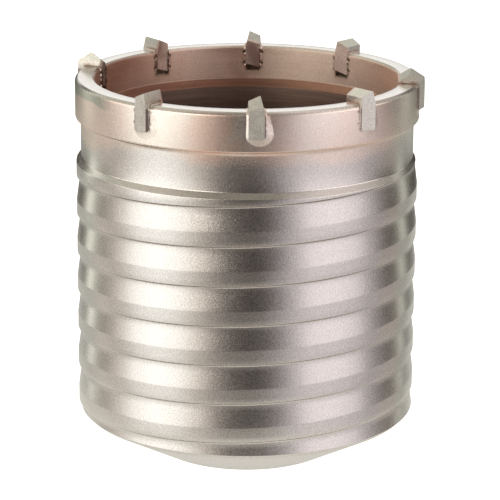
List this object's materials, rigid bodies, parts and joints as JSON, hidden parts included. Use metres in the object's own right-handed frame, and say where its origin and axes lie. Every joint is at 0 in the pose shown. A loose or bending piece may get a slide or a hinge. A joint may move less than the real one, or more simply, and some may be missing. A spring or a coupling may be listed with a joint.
{
  "type": "concrete core bit",
  "caption": "Thick-walled hollow core cutter crown with brazed carbide teeth round its rim, a helical dust groove outside and a screw hole in its closed back end.",
  "frame": {"origin": "on the turning axis at the flat back face, in the mouth of the screw hole", "axes": "+Z along the turning axis from the back face to the teeth; -Y is the side that faces the camera in the picture; +X is that view's right"},
  "size_m": [0.0882, 0.0898, 0.1011],
  "materials": {
    "body": "bead-blasted nickel-plated steel, satin",
    "teeth": "sintered carbide, matt grey",
    "braze": "silver braze under the blasted plating, satin"
  },
  "bodies": {
    "root": {"core_body": "body", "tooth_1": "teeth", "tooth_2": "teeth", "tooth_3": "teeth", "tooth_4": "teeth", "tooth_5": "teeth", "tooth_6": "teeth", "tooth_7": "teeth", "tooth_8": "teeth", "braze_1": "braze", "braze_2": "braze", "braze_3": "braze", "braze_4": "braze", "braze_5": "braze", "braze_6": "braze", "braze_7": "braze", "braze_8": "braze"}
  },
  "joints": []
}
